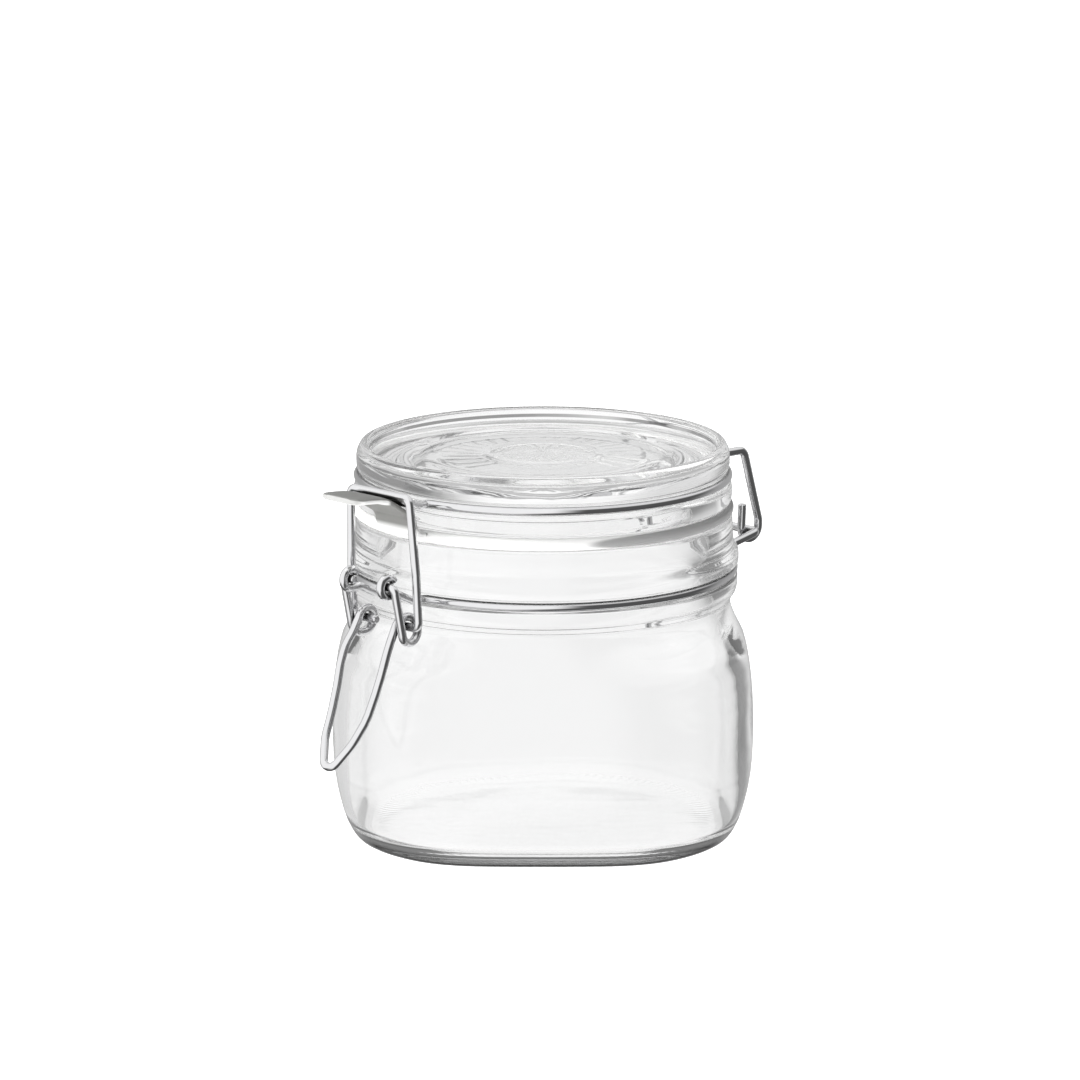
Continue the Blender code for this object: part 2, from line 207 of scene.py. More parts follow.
def section_radii(azimuths, flat, corner, square):
    """Distance from the axis to a square section with cut corners and rounded edges."""
    total = np.zeros_like(azimuths)
    for index in range(8):
        distance = flat if index % 2 == 0 else corner
        facing = np.maximum(np.cos(azimuths - index * math.pi / 4), 0)
        total += (facing / distance) ** CORNER_SHARPNESS
    return flat + (total ** (-1 / CORNER_SHARPNESS) - flat) * square


def build_jar():
    azimuths = np.arange(JAR_COLUMNS) * math.tau / JAR_COLUMNS
    outline = jar_outline()
    rim_row = int(np.argmax(outline[:, 1]))
    rows = []
    for index, (flat, height, corner) in enumerate(outline):
        radii = section_radii(azimuths, flat, corner, squareness(height))
        heights = np.full_like(azimuths, height)
        inner = index > rim_row
        if inner:
            depth = min(1.0, max(0.0, (60.0 - height) / 15.0))
            radii += depth * (0.05 * np.sin(3 * azimuths + 0.13 * height + 0.6)
                              + 0.03 * np.sin(7 * azimuths - 0.21 * height))
        elif height < 1.0 and flat > 38.0:
            fade = max(0.0, 1.0 - height)
            heights += 0.015 * fade * (1 + np.cos(BASE_KNURLS * azimuths))
        rows.append(np.stack([radii * np.cos(azimuths), radii * np.sin(azimuths), heights], 1))
    mesh = skin("jar_glass", np.array(rows))
    return piece("jar_glass", mesh, glass_material("jar_glass", 8.5), "jar", "jar", "jar")


# ---------------------------------------------------------------- lid

LID_COLUMNS = 360
LID_RING_RADIUS = 46.0
LID_RING_HEIGHT = 89.75
LID_GROOVE_RADIUS = 44.6
STAR_RAYS = 24
BAND_PETALS = 36


def lid_outline():
    """From the middle of the underside out, up the outside and over the rim to the middle of the top."""
    low = LID_RING_HEIGHT - GROOVE_HALF
    high = LID_RING_HEIGHT + GROOVE_HALF
    return softened([
        (0.4, 90.1, SMOOTH), (30.0, 89.9, SMOOTH), (33.6, 89.4, SMOOTH), (35.6, 87.6, SMOOTH),
        (36.6, 81.6, 1.5), (37.6, 80.5, SMOOTH), (39.2, 80.5, SMOOTH), (39.9, 81.0, SMOOTH),
        (40.0, 83.2, 0.6), (46.6, 83.2, 0.6), (47.0, 84.4, SMOOTH), (47.0, 87.4, 1.0),
        (46.4, low, 0.5), (LID_GROOVE_RADIUS, low, 0.5), (LID_GROOVE_RADIUS, high, 0.5),
        (46.0, high, 0.5), (46.4, 92.6, SMOOTH), (46.4, 95.4, SMOOTH), (45.8, 96.9, SMOOTH),
        (45.1, LID_TOP, SMOOTH), (43.6, LID_TOP, 0.6), (43.2, 94.9, 0.9), (37.0, 94.9, SMOOTH),
        (31.4, 95.0, 0.8), (30.2, 94.7, 0.8), (12.4, 94.7, 0.8), (11.4, 94.9, 0.8), (0.4, 95.0, SMOOTH),
    ], 0.8)


def window(values, low, high, edge):
    """1 between low and high, falling smoothly to 0 within edge outside of them."""
    rise = np.clip((values - low) / edge + 1, 0, 1)
    fall = np.clip((high - values) / edge + 1, 0, 1)
    share = rise * fall
    return share * share * (3 - 2 * share)


def lid_relief(radii, azimuths):
    """The pressed pattern of the lid's recess: a star, a band of petals and three rings."""
    star = 0.015 * window(radii, 3.0, 9.0, 2.0) * np.cos(STAR_RAYS * azimuths)
    leaning = np.cos(BAND_PETALS / 2 * azimuths + radii * 0.12)
    petals = 0.02 * window(radii, 18.0, 24.0, 3.0) * np.abs(leaning)
    rings = 0.05 * sum(window(radii, at, at, 0.9) for at in (15.0, 27.2, 33.5))
    return star + petals + rings


def build_lid():
    azimuths = np.arange(LID_COLUMNS) * math.tau / LID_COLUMNS
    rows = []
    for radius, height in lid_outline():
        radii = np.full_like(azimuths, radius)
        heights = np.full_like(azimuths, height)
        if radius < 40.0 and height > 92.0:
            heights += lid_relief(radii, azimuths)
        rows.append(np.stack([radii * np.cos(azimuths), radii * np.sin(azimuths), heights], 1))
    mesh = skin("lid_glass", np.array(rows))
    return piece("lid_glass", mesh, glass_material("lid_glass", 3.5), "lid", "lid", "lid")


# ---------------------------------------------------------------- gasket

GASKET_COLUMNS = 192
TAB_HALF = 7.0
TAB_CORNER = 2.4            # reach of the roundings at its end
TAB_SIDES = 32              # points round its section
TAB_THICK = 0.85            # half thickness, less where it joins the ring and at its end
TAB_ROOT_OUT, TAB_FREE_OUT = 45.2, 51.0


def gasket_ring():
    """A ring with a bulging outer edge that is squeezed between the lid and the rim."""
    outline = softened([
        (44.0, 80.0, SMOOTH), (42.2, 80.0, 0.5), (41.9, 81.5, 0.8), (42.2, 83.1, 0.5),
        (44.0, 83.1, 0.2), (46.5, 83.1, 0.7), (47.4, 82.2, 0.6), (47.4, 80.9, 0.6),
        (46.5, 80.0, 0.7), (44.0, 80.0, SMOOTH),
    ], 0.5)[:-1]
    azimuths = np.arange(GASKET_COLUMNS) * math.tau / GASKET_COLUMNS
    rows = [np.stack([radius * np.cos(azimuths), radius * np.sin(azimuths),
                      np.full_like(azimuths, height)], 1) for radius, height in outline]
    return skin("gasket", np.array(rows), ring=True)


def gasket_tab():
    """The pull tab: a strip that leaves the ring level and curls up to a rounded end."""
    spine = softened([
        (TAB_ROOT_OUT, 82.3, SMOOTH), (48.9, 82.3, SMOOTH), (50.3, 84.2, SMOOTH), (50.9, 87.4, SMOOTH),
        (53.6, 88.8, SMOOTH), (56.8, 91.0, SMOOTH), (60.5, 92.9, SMOOTH), (69.6, 93.5, SMOOTH),
    ], 0.6)
    work = bmesh.new()
    rings = []
    total = len(spine) - 1
    for index, (out, height) in enumerate(spine):
        before, after = spine[max(index - 1, 0)], spine[min(index + 1, total)]
        heading = math.atan2(after[1] - before[1], after[0] - before[0])
        to_end = float(np.linalg.norm(spine[total] - spine[index]))
        inset = max(0.0, 1 - to_end / TAB_CORNER)
        half = TAB_HALF - TAB_CORNER * (1 - math.sqrt(max(0.0, 1 - inset ** 2)))
        thick = TAB_THICK - 0.25 * max(0.0, 1 - to_end / 0.8) ** 2
        thick -= 0.25 * max(0.0, (TAB_FREE_OUT - out) / (TAB_FREE_OUT - TAB_ROOT_OUT))
        ring = []
        for corner in np.linspace(0, math.tau, TAB_SIDES, endpoint=False):
            across = math.copysign(abs(math.cos(corner)) ** 0.35, math.cos(corner)) * half
            up = math.copysign(abs(math.sin(corner)) ** 0.6, math.sin(corner)) * thick
            place = Vector((out - up * math.sin(heading), across, height + up * math.cos(heading)))
            ring.append(work.verts.new(CLASP_TURN @ place * MM))
        rings.append(ring)
    for lower, upper in zip(rings, rings[1:]):
        for side in range(TAB_SIDES):
            after = (side + 1) % TAB_SIDES
            work.faces.new((lower[side], lower[after], upper[after], upper[side]))
    work.faces.new(rings[0])
    work.faces.new(rings[-1])
    bmesh.ops.recalc_face_normals(work, faces=work.faces)
    mesh = bpy.data.meshes.new("gasket_tab")
    work.to_mesh(mesh)
    work.free()
    return mesh


def joined(name, first, second):
    """One mesh from two closed meshes that overlap."""
    objects = []
    for mesh in (first, second):
        facing_out(mesh)
        obj = bpy.data.objects.new(name, mesh)
        bpy.context.scene.collection.objects.link(obj)
        objects.append(obj)
    union = objects[0].modifiers.new("join", "BOOLEAN")
    union.operation = "UNION"
    union.solver = "EXACT"
    union.object = objects[1]
    depsgraph = bpy.context.evaluated_depsgraph_get()
    mesh = bpy.data.meshes.new_from_object(objects[0].evaluated_get(depsgraph))
    for obj in objects:
        bpy.data.objects.remove(obj)
    return mesh


def build_gasket():
    mesh = joined("gasket", gasket_ring(), gasket_tab())
    mesh.shade_smooth()
    mesh.set_sharp_from_angle(angle=math.radians(50))
    return piece("gasket_seal", mesh, silicone_material(), "jar", "gasket", "gasket")


# ---------------------------------------------------------------- wires

NECK_RING_RADIUS = 47.5
HINGE_PIN_HALF = 17.0
HINGE_ARM_SIDE = 14.3
HOOK_RADIUS = 3.15
HOOK_DROP = 2.25            # from the hinge axis down to the hook's lowest centre line
LEVER_ARM_SIDE = 8.95
EYE_SIDE = 6.55
EYE_RADIUS = 2.3
COIL_HEIGHT = 60.0
COIL_RADIUS = 3.15
LEVER_TIP_SIDE = EYE_SIDE - 1.6
BAIL_TIP_SIDE = 3.2
LOOP_TIP_OUT = 73.6         # lowest point of the finger loop, and the bend round it
LOOP_TIP_HEIGHT = 27.9
LOOP_TIP_RADIUS = 2.6
LOOP_TIP_HEADING = math.radians(-58)
BAIL_BAR_OUT = 55.8
BAIL_BAR_HEIGHT = 93.0
NOSE_OUT = 53.8
NOSE_SIDE = 6.0
NOSE_HEIGHT = 91.3


def arc(centre, radius, start, end, side):
    """Points on a circle in the outward-height plane; angles in degrees from outward."""
    steps = math.ceil(abs(math.radians(end - start)) / BEND_STEP)
    points = []
    for share in np.linspace(0, 1, steps + 1):
        angle = math.radians(start + (end - start) * share)
        across = side[0] + (side[1] - side[0]) * share
        points.append(Vector((centre[0] + radius * math.cos(angle), across,
                              centre[1] + radius * math.sin(angle))))
    return points


def ring_arc(radius, height, first_side, last_side):
    """The wire's run round the jar on one side, from the clasp's end to the hinge's."""
    start = math.asin(first_side / radius) + 0.05
    end = math.pi - math.asin(last_side / radius) - 0.05
    return [Vector((radius * math.cos(angle), radius * math.sin(angle), height))
            for angle in np.linspace(start, end, 100)]


def fillet(points, radius):
    """Round the inner corners of an open path with arcs of the given bend radius."""
    rounded = [Vector(points[0])]
    for before, corner, after in zip(points, points[1:], points[2:]):
        before, corner, after = Vector(before), Vector(corner), Vector(after)
        to_before = (before - corner).normalized()
        to_after = (after - corner).normalized()
        half = to_before.angle(to_after) / 2
        reach = min(radius / math.tan(half), 0.48 * (before - corner).length,
                    0.48 * (after - corner).length)
        bend = reach * math.tan(half)
        centre = corner + (to_before + to_after).normalized() * (bend / math.sin(half))
        first = (corner + to_before * reach - centre).normalized()
        last = (corner + to_after * reach - centre).normalized()
        steps = max(1, round(first.angle(last) / BEND_STEP))
        for share in np.linspace(0, 1, steps + 1):
            rounded.append(centre + first.slerp(last, share) * bend)
    rounded.append(Vector(points[-1]))
    return rounded


def mirrored(half):
    """A whole path from its half that starts on the clasp's plane of symmetry."""
    other = [Vector((point.x, -point.y, point.z)) for point in reversed(half[1:])]
    return other + half


WIRE_SIDES = 28
END_CHAMFER = 0.22


def tube(name, path):
    """A round wire along a path, with chamfered cut ends and a map along its length."""
    path = [CLASP_TURN @ point for point in path]
    clean = [path[0]]
    for point in path[1:]:
        if (point - clean[-1]).length > 0.02:
            clean.append(point)
    start = clean[0] + (clean[1] - clean[0]).normalized() * END_CHAMFER
    end = clean[-1] + (clean[-2] - clean[-1]).normalized() * END_CHAMFER
    path = [clean[0], start] + clean[1:-1] + [end, clean[-1]]
    headings = []
    for index in range(len(path)):
        before, after = path[max(index - 1, 0)], path[min(index + 1, len(path) - 1)]
        headings.append((after - before).normalized())
    across = headings[0].orthogonal().normalized()
    work = bmesh.new()
    uv_layer = work.loops.layers.uv.new("length")
    rings, lengths, length = [], [], 0.0
    for index, (point, heading) in enumerate(zip(path, headings)):
        if index:
            length += (point - path[index - 1]).length
            across = headings[index - 1].rotation_difference(heading) @ across
        up = heading.cross(across)
        at_end = index in (0, len(path) - 1)
        radius = WIRE_RADIUS - (END_CHAMFER if at_end else 0.0)
        ring = []
        for angle in np.linspace(0, math.tau, WIRE_SIDES, endpoint=False):
            offset = across * math.cos(angle) + up * math.sin(angle)
            ring.append(work.verts.new((point + offset * radius) * MM))
        rings.append(ring)
        lengths.append(length)
    for row, (lower, upper) in enumerate(zip(rings, rings[1:])):
        for side in range(WIRE_SIDES):
            following = (side + 1) % WIRE_SIDES
            face = work.faces.new((lower[side], lower[following], upper[following], upper[side]))
            face.smooth = True
            places = ((side, row), (side + 1, row), (side + 1, row + 1), (side, row + 1))
            for loop, (round_step, along) in zip(face.loops, places):
                loop[uv_layer].uv = (round_step / WIRE_SIDES, lengths[along] / 10)
    for ring in (rings[0], rings[-1]):
        work.faces.new(ring)
    mesh = bpy.data.meshes.new(name)
    work.to_mesh(mesh)
    work.free()
    mesh.set_sharp_from_angle(angle=math.radians(40))
    return mesh


def neck_ring_path():
    """Open eyes for the lever in front, round the neck, and a cross wire for the hinge."""
    eye = arc((LEVER_OUT, LEVER_HEIGHT), EYE_RADIUS, 155, -90, (EYE_SIDE, EYE_SIDE))
    ring_out = math.sqrt(NECK_RING_RADIUS ** 2 - EYE_SIDE ** 2)
    lead = [eye[-1], (56.5, EYE_SIDE, LEVER_HEIGHT - EYE_RADIUS), (51.0, EYE_SIDE, NECK_RING_HEIGHT),
            (ring_out, EYE_SIDE, NECK_RING_HEIGHT)]
    ring = ring_arc(NECK_RING_RADIUS, NECK_RING_HEIGHT, EYE_SIDE, HINGE_PIN_HALF)
    back_out = -math.sqrt(NECK_RING_RADIUS ** 2 - HINGE_PIN_HALF ** 2)
    back = [(back_out, HINGE_PIN_HALF, NECK_RING_HEIGHT), (-50.0, HINGE_PIN_HALF, NECK_RING_HEIGHT),
            (HINGE_OUT, HINGE_PIN_HALF, HINGE_HEIGHT), (HINGE_OUT, 0.0, HINGE_HEIGHT)]
    front = fillet(lead + ring[:1], 2.0)[:-1]
    rear = fillet(ring[-1:] + back, 1.6)[1:]
    return mirrored(list(reversed(eye[:-1] + front + ring + rear)))


def lid_ring_path():
    """A nose for the bail in front, round the lid, and two hooked arms at the back."""
    ring = ring_arc(LID_RING_RADIUS, LID_RING_HEIGHT, NOSE_SIDE, HINGE_ARM_SIDE)
    nose = [(NOSE_OUT, 0.0, NOSE_HEIGHT), (NOSE_OUT, NOSE_SIDE, NOSE_HEIGHT),
            (48.5, NOSE_SIDE, LID_RING_HEIGHT),
            (math.sqrt(LID_RING_RADIUS ** 2 - NOSE_SIDE ** 2), NOSE_SIDE, LID_RING_HEIGHT)]
    front = fillet(nose + ring[:1], 1.6)[:-1]
    hook_height = HINGE_HEIGHT - HOOK_DROP + HOOK_RADIUS
    arm = [(-math.sqrt(LID_RING_RADIUS ** 2 - HINGE_ARM_SIDE ** 2), HINGE_ARM_SIDE, LID_RING_HEIGHT),
           (-57.6, HINGE_ARM_SIDE, LID_RING_HEIGHT - 0.4),
           (HINGE_OUT - HOOK_RADIUS, HINGE_ARM_SIDE, hook_height + 1.5)]
    hook = arc((HINGE_OUT, hook_height), HOOK_RADIUS, 180, 360, (HINGE_ARM_SIDE, HINGE_ARM_SIDE))
    tip = Vector((HINGE_OUT + HOOK_RADIUS - 0.3, HINGE_ARM_SIDE, 75.4))
    rear = fillet(ring[-1:] + arm + hook[:1], 2.4)[1:-1]
    return mirrored(front + ring + rear + hook + [tip])


def lever_path():
    """A pivot pin, an arm, a full coil for the bail, then the long finger loop."""
    reach = math.hypot(LEVER_OUT - COIL_OUT, LEVER_HEIGHT - COIL_HEIGHT)
    heading = math.atan2(LEVER_HEIGHT - COIL_HEIGHT, LEVER_OUT - COIL_OUT)
    tangent = math.degrees(heading - math.acos(COIL_RADIUS / reach))
    pin = [(LEVER_OUT, LEVER_TIP_SIDE, LEVER_HEIGHT), (LEVER_OUT, LEVER_ARM_SIDE, LEVER_HEIGHT)]
    coil = arc((COIL_OUT, COIL_HEIGHT), COIL_RADIUS, tangent, -340, (LEVER_ARM_SIDE, EYE_SIDE))
    loop = [(58.7, 6.7, 58.0), (60.9, 7.3, 54.6), (62.5, 7.3, 50.3), (64.1, 6.8, 45.4),
            (66.5, 6.2, 39.3), (70.0, 4.9, 33.7)]
    tip = []
    for turn in np.linspace(math.radians(26), math.pi / 2, 10):
        along = LOOP_TIP_RADIUS * (math.sin(turn) - 1)
        tip.append(Vector((LOOP_TIP_OUT + along * math.cos(LOOP_TIP_HEADING),
                           LOOP_TIP_RADIUS * math.cos(turn),
                           LOOP_TIP_HEIGHT + along * math.sin(LOOP_TIP_HEADING))))
    start = fillet(pin + coil[:1], 1.4)[:-1]
    finger = fillet(coil[-1:] + loop + tip[:1], 12.0)[1:] + tip[1:]
    return mirrored(list(reversed(start + coil + finger)))


def bail_path():
    """Two feet in the lever's coils, two legs, and the bar that holds the lid down."""
    return mirrored(fillet([
        (BAIL_BAR_OUT, 0.0, BAIL_BAR_HEIGHT), (BAIL_BAR_OUT, 10.3, BAIL_BAR_HEIGHT),
        (54.8, 11.4, 74.5), (COIL_OUT, 11.4, BAIL_PIN_HEIGHT),
        (COIL_OUT, BAIL_TIP_SIDE, BAIL_PIN_HEIGHT),
    ], 1.8))


def build_wires():
    steel = steel_material()
    for node, path, body in (("neck_ring", neck_ring_path(), "jar"),
                             ("lid_ring", lid_ring_path(), "lid"),
                             ("lever", lever_path(), "lever"), ("bail", bail_path(), "bail")):
        piece(node + "_wire", tube(node + "_wire", path), steel, body, "wire", node)


# ---------------------------------------------------------------- materials
# Lengths in materials are in metres.  A pair is where a change starts and ends.

FOOT_FADE = (0.0031, 0.0042)     # the painted shade of the jar's foot fades out between these heights
FOOT_FACING = -0.93              # and is left out where the glass faces down more than this
# Painted shade: a dark line round the wall of the lid's recess, at this distance from the axis and
# height, with this half width
RECESS_LINE_OUT, RECESS_LINE_LEVEL, RECESS_LINE_HALF = 0.0434, 0.0958, 0.0004
LIGHT_FOOT, LIGHT_NECK = (0.006, 0.011), (0.055, 0.061)     # heights in the jar where the painted shade of caught light changes
TAB_GREY = (0.0834, 0.0850)      # the tab is painted grey above these heights, as painted shade
TAB_WHITE = (0.0590, 0.0600)     # and painted white at its sides beyond these distances, as painted light
RING_EDGE = (0.0474, 0.0476)     # outer radius of the gasket's ring
RING_TURN = (0.19, 0.31)         # how far the ring's edge turns away as painted shade turns it grey
WIRE_CREVICE = 0.0022            # a wire gets painted shade where another surface is closer than this


class Nodes:
    """Adds nodes to a tree; in0, in1 and so on are inputs by number."""

    def __init__(self, tree):
        self.tree = tree

    def add(self, kind, settings=None, **inputs):
        node = self.tree.nodes.new(kind)
        for key, value in (settings or {}).items():
            setattr(node, key, value)
        for key, value in inputs.items():
            by_number = key.startswith("in")
            self.feed(value, node.inputs[int(key[2:]) if by_number else key.replace("_", " ")])
        return node

    def feed(self, value, socket):
        """Link an output to a socket, or give the socket a plain value."""
        if isinstance(value, bpy.types.NodeSocket):
            self.tree.links.new(value, socket)
        else:
            socket.default_value = value

    def maths(self, operation, *values):
        inputs = {"in%d" % index: value for index, value in enumerate(values)}
        return self.add("ShaderNodeMath", {"operation": operation}, **inputs).outputs[0]

    def ramp(self, value, start, end, low=0.0, high=1.0, kind="LINEAR"):
        node = self.add("ShaderNodeMapRange", {"interpolation_type": kind}, Value=value,
                        From_Min=start, From_Max=end, To_Min=low, To_Max=high)
        return node.outputs[0]

    def blend(self, share, first, second):
        """A mix of two colours."""
        node = self.add("ShaderNodeMix", {"data_type": "RGBA"}, in0=share, in6=first, in7=second)
        return node.outputs[2]

    def noise(self, place, scale, detail, **inputs):
        node = self.add("ShaderNodeTexNoise", Vector=place, Scale=scale, Detail=detail, **inputs)
        return node.outputs["Fac"]

    def parts(self, vector):
        return self.add("ShaderNodeSeparateXYZ", Vector=vector).outputs

    def from_axis(self, place):
        """Distance from the jar's axis."""
        flat = self.add("ShaderNodeVectorMath", {"operation": "MULTIPLY"}, in0=place, in1=(1, 1, 0))
        node = self.add("ShaderNodeVectorMath", {"operation": "LENGTH"}, in0=flat.outputs[0])
        return node.outputs["Value"]

    def to_camera(self, vector, kind):
        """A direction as (across, up, forward) from the camera."""
        node = self.add("ShaderNodeVectorTransform",
                        {"vector_type": kind, "convert_from": "WORLD", "convert_to": "CAMERA"},
                        Vector=vector)
        return self.parts(node.outputs[0])


def new_material(name):
    """A material, its nodes and the sockets of its main shader."""
    material = bpy.data.materials.new(name)
    material.use_nodes = True
    nodes = Nodes(material.node_tree)
    return material, nodes, material.node_tree.nodes["Principled BSDF"]


def glass_material(name, deepest):
    """Clear pressed glass: faint waves on its surface, and lamps shine through it.

    Light that has met more than deepest surfaces leaves the glass without a further
    bend, so that none stays caught inside it, and it is dimmed instead, by an amount
    that changes with height: painted shade, darkest in the jar's body and lightest at
    its neck and in the lid.  The foot of the jar and a broken line round the wall of
    the lid's recess are painted darker where they are seen directly: painted shade.
    """
    material, nodes, shader = new_material(name)
    place = nodes.add("ShaderNodeTexCoord").outputs["Object"]
    rays = nodes.add("ShaderNodeLightPath").outputs
    surface = nodes.add("ShaderNodeNewGeometry").outputs
    height = nodes.parts(surface["Position"])["Z"]
    facing = nodes.parts(surface["Normal"])["Z"]

    # Painted shade: the jar's foot and a broken line in the lid's recess are coloured dark for camera
    # rays
    foot = nodes.maths("MULTIPLY", nodes.ramp(height, *FOOT_FADE, 1.0, 0.0),
                       nodes.maths("GREATER_THAN", facing, FOOT_FACING))
    recess = nodes.maths(
        "MULTIPLY",
        nodes.maths("COMPARE", nodes.from_axis(place), RECESS_LINE_OUT, RECESS_LINE_HALF),
        nodes.maths("COMPARE", nodes.parts(place)["Z"], RECESS_LINE_LEVEL, RECESS_LINE_HALF))
    patches = nodes.ramp(nodes.noise(place, 22.0, 1.0), 0.38, 0.5)
    recess = nodes.maths("MULTIPLY", recess, patches)
    darker = nodes.maths("MULTIPLY", nodes.maths("MAXIMUM", foot, recess), rays["Is Camera Ray"])
    waves = nodes.noise(place, 45.0, 2.0, Roughness=0.4)
    bump = nodes.add("ShaderNodeBump", Strength=0.25, Distance=0.0004, Height=waves)
    nodes.feed(nodes.blend(darker, (0.998, 0.999, 0.999, 1), (0.12, 0.12, 0.12, 1)),
               shader.inputs["Base Color"])
    nodes.feed(bump.outputs["Normal"], shader.inputs["Normal"])
    nodes.feed(0.0, shader.inputs["Roughness"])
    nodes.feed(1.5, shader.inputs["IOR"])
    nodes.feed(1.0, shader.inputs["Transmission Weight"])

    clear = nodes.add("ShaderNodeBsdfTransparent", Color=(0.96, 0.96, 0.96, 1))
    lit = nodes.add("ShaderNodeMixShader",
                    in0=nodes.maths("MAXIMUM", rays["Is Shadow Ray"], rays["Is Diffuse Ray"]),
                    in1=shader.outputs[0], in2=clear.outputs[0])
    # Painted shade: light caught in the glass is dimmed by an amount that changes with height
    kept = nodes.maths("ADD", nodes.ramp(height, *LIGHT_FOOT, 0.7, 0.6),
                       nodes.ramp(height, *LIGHT_NECK, 0.0, 0.37))
    dimmed = nodes.add("ShaderNodeBsdfTransparent", Color=kept)
    mix = nodes.add("ShaderNodeMixShader",
                    in0=nodes.maths("GREATER_THAN", rays["Ray Depth"], deepest),
                    in1=lit.outputs[0], in2=dimmed.outputs[0])
    nodes.feed(mix.outputs[0], material.node_tree.nodes["Material Output"].inputs["Surface"])
    return material


def silicone_material():
    """White silicone with a satin grain.

    The tab is painted grey, as painted shade, apart from its sides near the end, which
    are painted white as painted light; and the ring's edge is painted grey, as painted
    shade, where it turns away from the bright side of the studio.
    """
    material, nodes, shader = new_material("silicone")
    place = nodes.add("ShaderNodeTexCoord").outputs["Object"]
    out = nodes.from_axis(place)
    normal = nodes.add("ShaderNodeNewGeometry").outputs["Normal"]
    outward = nodes.add("ShaderNodeVectorMath", {"operation": "DOT_PRODUCT"}, in0=normal,
                        in1=CLASP_OUT).outputs["Value"]
    # Painted shade greys the tab; painted light whitens its sides near the end that face sideways and
    # outward
    side = nodes.maths("MULTIPLY", nodes.ramp(nodes.parts(normal)["Z"], 0.3, 0.7, 1.0, 0.0),
                       nodes.ramp(outward, 0.3, 0.8, 1.0, 0.4))
    tab_painted_light = nodes.maths("MULTIPLY", nodes.ramp(out, *TAB_WHITE), side)
    strip = nodes.maths("SUBTRACT", nodes.ramp(nodes.parts(place)["Z"], *TAB_GREY), tab_painted_light)
    # Painted shade: the ring's edge greys where its normal turns to the camera's right
    across = nodes.to_camera(normal, "NORMAL")["X"]
    shade = nodes.maths("MULTIPLY", nodes.ramp(across, *RING_TURN, kind="SMOOTHSTEP"),
                        nodes.ramp(out, *RING_EDGE, 1.0, 0.0))
    tint = nodes.blend(nodes.noise(place, 120.0, 2.0), (0.86, 0.86, 0.85, 1), (0.93, 0.93, 0.92, 1))
    tint = nodes.blend(strip, tint, (0.25, 0.25, 0.24, 1))
    tint = nodes.blend(shade, tint, (0.36, 0.36, 0.36, 1))
    grain = nodes.noise(place, 2500.0, 3.0)
    bump = nodes.add("ShaderNodeBump", Strength=0.3, Distance=0.00005, Height=grain)
    nodes.feed(tint, shader.inputs["Base Color"])
    nodes.feed(nodes.ramp(grain, 0.0, 1.0, 0.32, 0.5), shader.inputs["Roughness"])
    nodes.feed(bump.outputs["Normal"], shader.inputs["Normal"])
    nodes.feed(0.3, shader.inputs["Subsurface Weight"])
    nodes.feed((1.0, 1.0, 1.0), shader.inputs["Subsurface Radius"])
    nodes.feed(0.002, shader.inputs["Subsurface Scale"])
    return material


def steel_material():
    """Bright drawn wire: fine lines along its length, and a faint haze between them.

    Its colour is painted dark, as painted shade, where it nearly touches another
    surface, most of all where it is seen directly.
    """
    material, nodes, shader = new_material("drawn_wire")
    along = nodes.add("ShaderNodeUVMap", {"uv_map": "length"}).outputs[0]
    stretched = nodes.add("ShaderNodeMapping", Vector=along, Scale=(60.0, 0.6, 1.0))
    lines = nodes.noise(stretched.outputs[0], 1.0, 3.0)
    haze = nodes.noise(nodes.add("ShaderNodeTexCoord").outputs["Object"], 300.0, 2.0)
    rough = nodes.ramp(nodes.maths("MULTIPLY", lines, haze), 0.0, 1.0, 0.06, 0.22)
    bump = nodes.add("ShaderNodeBump", Strength=0.15, Distance=0.00003, Height=lines)
    # Painted shade: ambient occlusion darkens the colour where other surfaces are close, most of all for
    # camera rays
    crevice = nodes.add("ShaderNodeAmbientOcclusion", {"samples": 8}, Distance=WIRE_CREVICE)
    bright = nodes.ramp(crevice.outputs["AO"], 0.5, 0.85)
    directly = nodes.add("ShaderNodeLightPath").outputs["Is Camera Ray"]
    bright = nodes.maths("MAXIMUM", bright, nodes.maths("SUBTRACT", 0.7, directly))
    nodes.feed(nodes.blend(bright, (0.05, 0.05, 0.05, 1), (0.78, 0.78, 0.79, 1)),
               shader.inputs["Base Color"])
    nodes.feed(rough, shader.inputs["Roughness"])
    nodes.feed(bump.outputs["Normal"], shader.inputs["Normal"])
    nodes.feed(1.0, shader.inputs["Metallic"])
    return material


# ---------------------------------------------------------------- studio

CAMERA_PLACE = Vector((0.0, -1.4598, 0.3941))
CAMERA_AIM = Vector((-0.00075, 0.0, 0.0727))
FLOOR_SIZE = 40.0


def build_floor():
    """White paper that shines a little, and isn't seen in glass or wire."""
    mesh = bpy.data.meshes.new("floor")
    half = FLOOR_SIZE / 2
    corners = [(-half, -half, 0), (half, -half, 0), (half, half, 0), (-half, half, 0)]
    mesh.from_pydata(corners, [], [(0, 1, 2, 3)])
    floor = bpy.data.objects.new("floor", mesh)
    bpy.context.scene.collection.objects.link(floor)
    material, nodes, shader = new_material("floor_paper")
    nodes.feed((0.9, 0.9, 0.9, 1), shader.inputs["Base Color"])
    nodes.feed(0.9, shader.inputs["Roughness"])
    nodes.feed(0.0, shader.inputs["Specular IOR Level"])
    nodes.feed((1, 1, 1, 1), shader.inputs["Emission Color"])
    nodes.feed(0.75, shader.inputs["Emission Strength"])
    mesh.materials.append(material)
    floor.visible_glossy = False
    floor.visible_transmission = False


